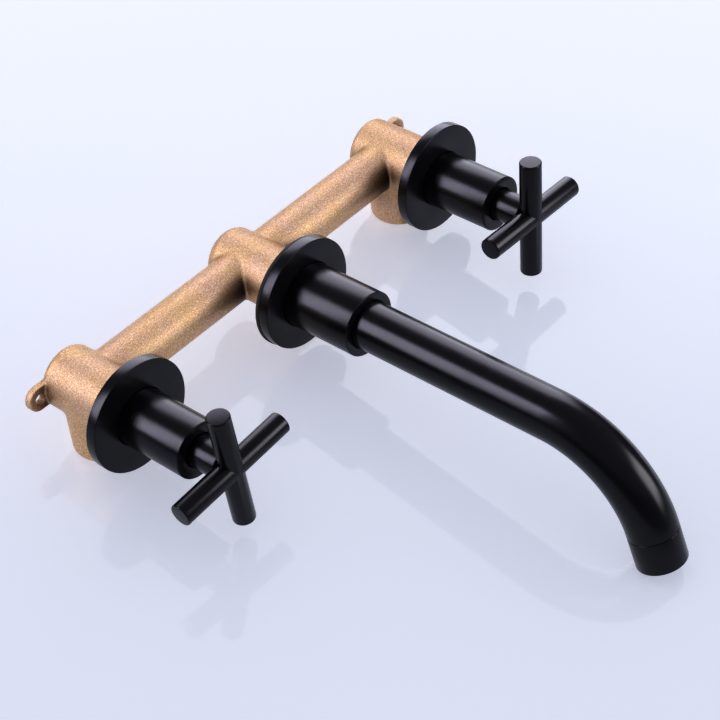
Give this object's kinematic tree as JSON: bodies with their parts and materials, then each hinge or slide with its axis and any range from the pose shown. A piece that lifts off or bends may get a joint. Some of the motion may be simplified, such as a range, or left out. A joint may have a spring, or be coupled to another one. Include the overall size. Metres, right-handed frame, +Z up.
{
  "type": "wall mounted bath faucet",
  "caption": "Concealed wall faucet: cast brass rough-in body with screw ears and inlet legs, satin black plates and sleeves, cross handles and a long bent spout.",
  "frame": {"origin": "on the spout's axis, in the plane of the finished wall that the two outer cover plates lie on", "axes": "+X along the rough-in body from the hot side to the cold side, +Y into the wall, +Z up; the spout points along -Y"},
  "size_m": [0.2612, 0.2498, 0.0851],
  "materials": {
    "cast_brass": "sandblasted, as cast",
    "turned_brass": "turned",
    "black_finish": "satin black coating on brass",
    "rubber_seal": "matte",
    "ceramic_disc": "lapped",
    "steel": "bright stainless",
    "white_plastic": "moulded"
  },
  "bodies": {
    "rough_in": {"valve_body": "cast_brass", "hot_escutcheon": "black_finish", "hot_escutcheon_o_ring": "rubber_seal", "hot_sleeve": "black_finish", "hot_headwork_body": "turned_brass", "hot_fixed_disc": "ceramic_disc", "hot_seat_seal": "rubber_seal", "cold_escutcheon": "black_finish", "cold_escutcheon_o_ring": "rubber_seal", "cold_sleeve": "black_finish", "cold_headwork_body": "turned_brass", "cold_fixed_disc": "ceramic_disc", "cold_seat_seal": "rubber_seal", "spout_escutcheon": "black_finish", "spout_escutcheon_o_ring": "rubber_seal", "spout_wall_gasket": "rubber_seal", "spout_sleeve": "black_finish", "spout_grub_screw": "steel", "spout_nipple": "turned_brass", "spout_o_ring_1": "rubber_seal", "spout_o_ring_2": "rubber_seal", "spout_tube": "black_finish", "aerator_housing": "black_finish", "aerator_insert": "white_plastic", "aerator_washer": "rubber_seal"},
    "hot_spindle": {"hot_handle": "black_finish", "hot_handle_grub_screw": "steel", "hot_stem": "turned_brass", "hot_moving_disc": "ceramic_disc", "hot_stem_o_ring_1": "rubber_seal", "hot_stem_o_ring_2": "rubber_seal", "hot_stem_clip": "steel"},
    "cold_spindle": {"cold_handle": "black_finish", "cold_handle_grub_screw": "steel", "cold_stem": "turned_brass", "cold_moving_disc": "ceramic_disc", "cold_stem_o_ring_1": "rubber_seal", "cold_stem_o_ring_2": "rubber_seal", "cold_stem_clip": "steel"}
  },
  "joints": [
    {"name": "hot_handle_turn", "type": "hinge", "parent": "rough_in", "child": "hot_spindle", "pos_m": [-0.1, 0, 0], "axis": [0, -1, 0], "range_deg": [0, 90]},
    {"name": "cold_handle_turn", "type": "hinge", "parent": "rough_in", "child": "cold_spindle", "pos_m": [0.1, 0, 0], "axis": [0, 1, 0], "range_deg": [0, 90]}
  ]
}
